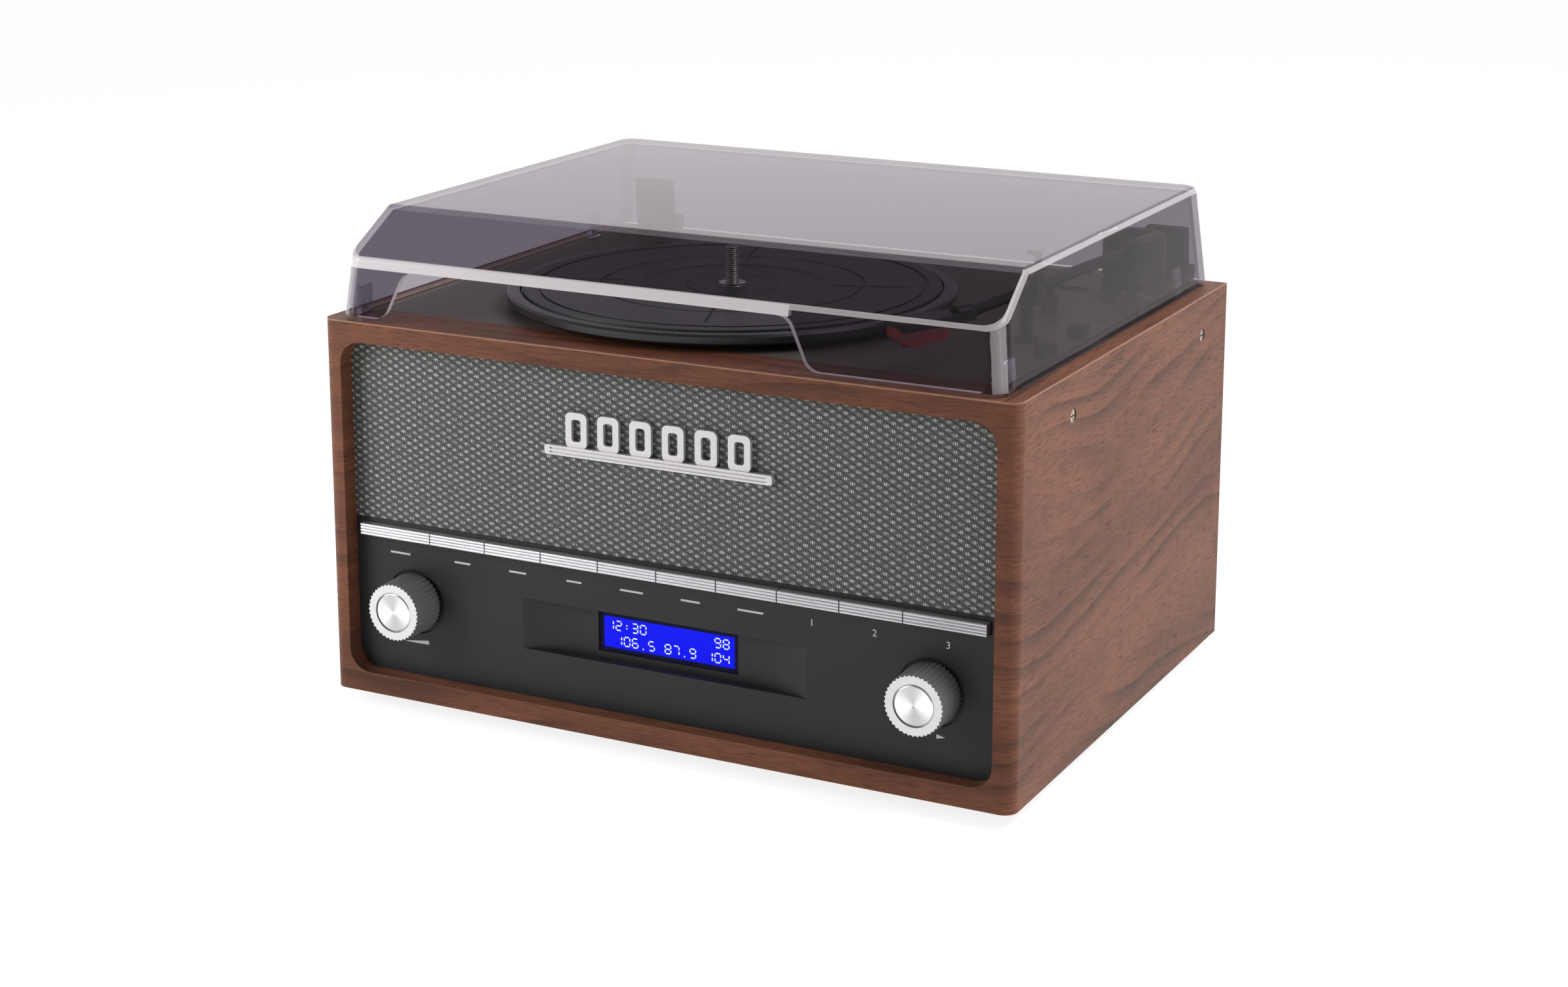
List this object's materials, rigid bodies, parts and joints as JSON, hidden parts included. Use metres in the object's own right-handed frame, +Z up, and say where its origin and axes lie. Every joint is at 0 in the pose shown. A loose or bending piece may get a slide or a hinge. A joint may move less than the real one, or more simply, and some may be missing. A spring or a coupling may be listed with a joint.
{
  "type": "stereo music centre",
  "caption": "Wooden table music centre: cloth-fronted speakers, control panel with bar buttons, knobs and display, and a record player under a hinged dust cover.",
  "frame": {"origin": "under the middle of the whole object, on the surface its feet stand on", "axes": "+X to the right along the front, -Y out of the front, +Z up"},
  "size_m": [0.38, 0.3094, 0.2578],
  "materials": {
    "walnut": "satin printed walnut wrap",
    "foot_rubber": "matt",
    "screw_steel": "bright zinc",
    "back_board": "matt black fibreboard",
    "black_plastic": "fine spark texture",
    "panel_graphite": "matt graphite",
    "button_silver": "silver metallised, ribbed",
    "circuit_board": "solder mask",
    "display_glass": "clear window",
    "display_blue": "lit blue",
    "knob_silver": "silver metallised, toothed",
    "cap_aluminium": "spun",
    "pot_metal": "plated",
    "grille_cloth": "woven cloth with bright thread",
    "speaker_metal": "black",
    "badge_metal": "satin",
    "transformer_iron": "varnished",
    "deck_plastic": "fine grain",
    "brass_bush": "turned",
    "spindle_metal": "ribbed",
    "platter_plastic": "satin",
    "mat_rubber": "matt",
    "motor_can": "plated",
    "belt_rubber": "matt",
    "arm_plastic": "satin",
    "cartridge_red": "translucent red",
    "smoked_cover": "smoked clear, polished",
    "clear_bumper": "clear"
  },
  "bodies": {
    "cabinet": {"cabinet_shell": "walnut", "rubber_feet": "foot_rubber", "case_screws": "screw_steel", "side_screws": "screw_steel", "back_panel": "back_board", "rear_sockets": "black_plastic", "mains_inlet": "black_plastic", "front_panel": "panel_graphite", "button_board": "circuit_board", "lcd_window": "display_glass", "lcd_module": "display_blue", "volume_pot": "pot_metal", "tune_encoder": "pot_metal", "speaker_baffle": "back_board", "grille_cloth": "grille_cloth", "speaker_left": "speaker_metal", "speaker_right": "speaker_metal", "badge_bar": "badge_metal", "main_board": "circuit_board", "power_board": "transformer_iron", "deck_plate": "deck_plastic", "record_adapter": "black_plastic", "spindle_bearing": "brass_bush", "drive_motor": "motor_can", "drive_belt": "belt_rubber", "tonearm_base": "arm_plastic", "arm_rest": "arm_plastic", "hinge_bases": "black_plastic"},
    "volume_knob": {"volume_knob": "knob_silver", "volume_cap": "cap_aluminium"},
    "tune_rotor": {"tune_rotor": "black_plastic"},
    "tune_knob": {"tune_knob": "knob_silver", "tune_cap": "cap_aluminium"},
    "motor_pulley": {"motor_pulley": "brass_bush"},
    "platter": {"inner_platter": "platter_plastic", "platter": "platter_plastic", "platter_mat": "mat_rubber", "spindle": "spindle_metal"},
    "arm_turret": {"tonearm_gimbal": "arm_plastic"},
    "arm": {"tonearm_tube": "arm_plastic", "headshell": "arm_plastic", "cartridge": "cartridge_red"},
    "arm_clip": {"arm_clip": "arm_plastic"},
    "cue_lever": {"cue_lever": "arm_plastic"},
    "lift_platform": {"lift_platform": "arm_plastic"},
    "speed_selector": {"speed_selector": "black_plastic"},
    "stop_switch": {"stop_switch": "black_plastic"},
    "dust_cover": {"dust_cover": "smoked_cover", "lid_bumpers": "clear_bumper", "hinge_leaves": "black_plastic"},
    "button_01": {"button_01": "button_silver"},
    "button_02": {"button_02": "button_silver"},
    "button_03": {"button_03": "button_silver"},
    "button_04": {"button_04": "button_silver"},
    "button_05": {"button_05": "button_silver"},
    "button_06": {"button_06": "button_silver"},
    "button_07": {"button_07": "button_silver"},
    "button_08": {"button_08": "button_silver"},
    "button_09": {"button_09": "button_silver"},
    "button_10": {"button_10": "button_silver"}
  },
  "joints": [
    {"name": "cover_hinge", "type": "hinge", "parent": "cabinet", "child": "dust_cover", "pos_m": [0, 0.1509, 0.208], "axis": [-1, 0, 0], "range_deg": [0, 70]},
    {"name": "platter_spin", "type": "hinge", "parent": "cabinet", "child": "platter", "pos_m": [-0.0238, -0.0151, 0.2095], "axis": [0, 0, 1], "continuous": true},
    {"name": "motor_spin", "type": "hinge", "parent": "cabinet", "child": "motor_pulley", "pos_m": [-0.08885, 0.04995, 0.2055], "axis": [0, 0, 1], "continuous": true},
    {"name": "arm_swing", "type": "hinge", "parent": "cabinet", "child": "arm_turret", "pos_m": [0.157, 0.0909, 0.2245], "axis": [0, 0, -1], "range_deg": [0, 34]},
    {"name": "arm_tilt", "type": "hinge", "parent": "arm_turret", "child": "arm", "pos_m": [0.157, 0.0909, 0.2295], "axis": [-0.9947, 0.1028, 0], "range_deg": [0, 1]},
    {"name": "clip_fold", "type": "hinge", "parent": "cabinet", "child": "arm_clip", "pos_m": [0.15084, -0.02709, 0.236], "axis": [-0.1028, -0.9947, 0], "range_deg": [0, 90]},
    {"name": "cue_lever_turn", "type": "hinge", "parent": "cabinet", "child": "cue_lever", "pos_m": [0.17, 0.0539, 0.2115], "axis": [-1, 0, 0], "range_deg": [0, 50]},
    {"name": "lift_rise", "type": "slide", "parent": "cabinet", "child": "lift_platform", "axis": [0, 0, 1], "range_m": [0, 0.005]},
    {"name": "speed_slide", "type": "slide", "parent": "cabinet", "child": "speed_selector", "axis": [0, 1, 0], "range_m": [-0.006, 0.006]},
    {"name": "stop_slide", "type": "slide", "parent": "cabinet", "child": "stop_switch", "axis": [0, 1, 0], "range_m": [0, 0.006]},
    {"name": "volume_turn", "type": "hinge", "parent": "cabinet", "child": "volume_knob", "pos_m": [-0.1444, -0.1441, 0.0584], "axis": [0, 1, 0], "range_deg": [-150, 150]},
    {"name": "tune_turn", "type": "hinge", "parent": "cabinet", "child": "tune_rotor", "pos_m": [0.1444, -0.1301, 0.0584], "axis": [0, 1, 0], "continuous": true},
    {"name": "tune_press", "type": "slide", "parent": "tune_rotor", "child": "tune_knob", "axis": [0, 1, 0], "range_m": [0, 0.0008], "stiffness_N_per_m": 2500, "springref_m": -0.0002},
    {"name": "press_01", "type": "slide", "parent": "cabinet", "child": "button_01", "axis": [0, 1, 0], "range_m": [0, 0.001], "stiffness_N_per_m": 800, "springref_m": -0.0003},
    {"name": "press_02", "type": "slide", "parent": "cabinet", "child": "button_02", "axis": [0, 1, 0], "range_m": [0, 0.001], "stiffness_N_per_m": 800, "springref_m": -0.0003},
    {"name": "press_03", "type": "slide", "parent": "cabinet", "child": "button_03", "axis": [0, 1, 0], "range_m": [0, 0.001], "stiffness_N_per_m": 800, "springref_m": -0.0003},
    {"name": "press_04", "type": "slide", "parent": "cabinet", "child": "button_04", "axis": [0, 1, 0], "range_m": [0, 0.001], "stiffness_N_per_m": 800, "springref_m": -0.0003},
    {"name": "press_05", "type": "slide", "parent": "cabinet", "child": "button_05", "axis": [0, 1, 0], "range_m": [0, 0.001], "stiffness_N_per_m": 800, "springref_m": -0.0003},
    {"name": "press_06", "type": "slide", "parent": "cabinet", "child": "button_06", "axis": [0, 1, 0], "range_m": [0, 0.001], "stiffness_N_per_m": 800, "springref_m": -0.0003},
    {"name": "press_07", "type": "slide", "parent": "cabinet", "child": "button_07", "axis": [0, 1, 0], "range_m": [0, 0.001], "stiffness_N_per_m": 800, "springref_m": -0.0003},
    {"name": "press_08", "type": "slide", "parent": "cabinet", "child": "button_08", "axis": [0, 1, 0], "range_m": [0, 0.001], "stiffness_N_per_m": 800, "springref_m": -0.0003},
    {"name": "press_09", "type": "slide", "parent": "cabinet", "child": "button_09", "axis": [0, 1, 0], "range_m": [0, 0.001], "stiffness_N_per_m": 800, "springref_m": -0.0003},
    {"name": "press_10", "type": "slide", "parent": "cabinet", "child": "button_10", "axis": [0, 1, 0], "range_m": [0, 0.001], "stiffness_N_per_m": 800, "springref_m": -0.0003}
  ],
  "couplings": [
    {"joint": "motor_spin", "follows": "platter_spin", "ratio": 14.364},
    {"joint": "lift_rise", "follows": "cue_lever_turn", "m_per_rad": 0.0057295}
  ]
}
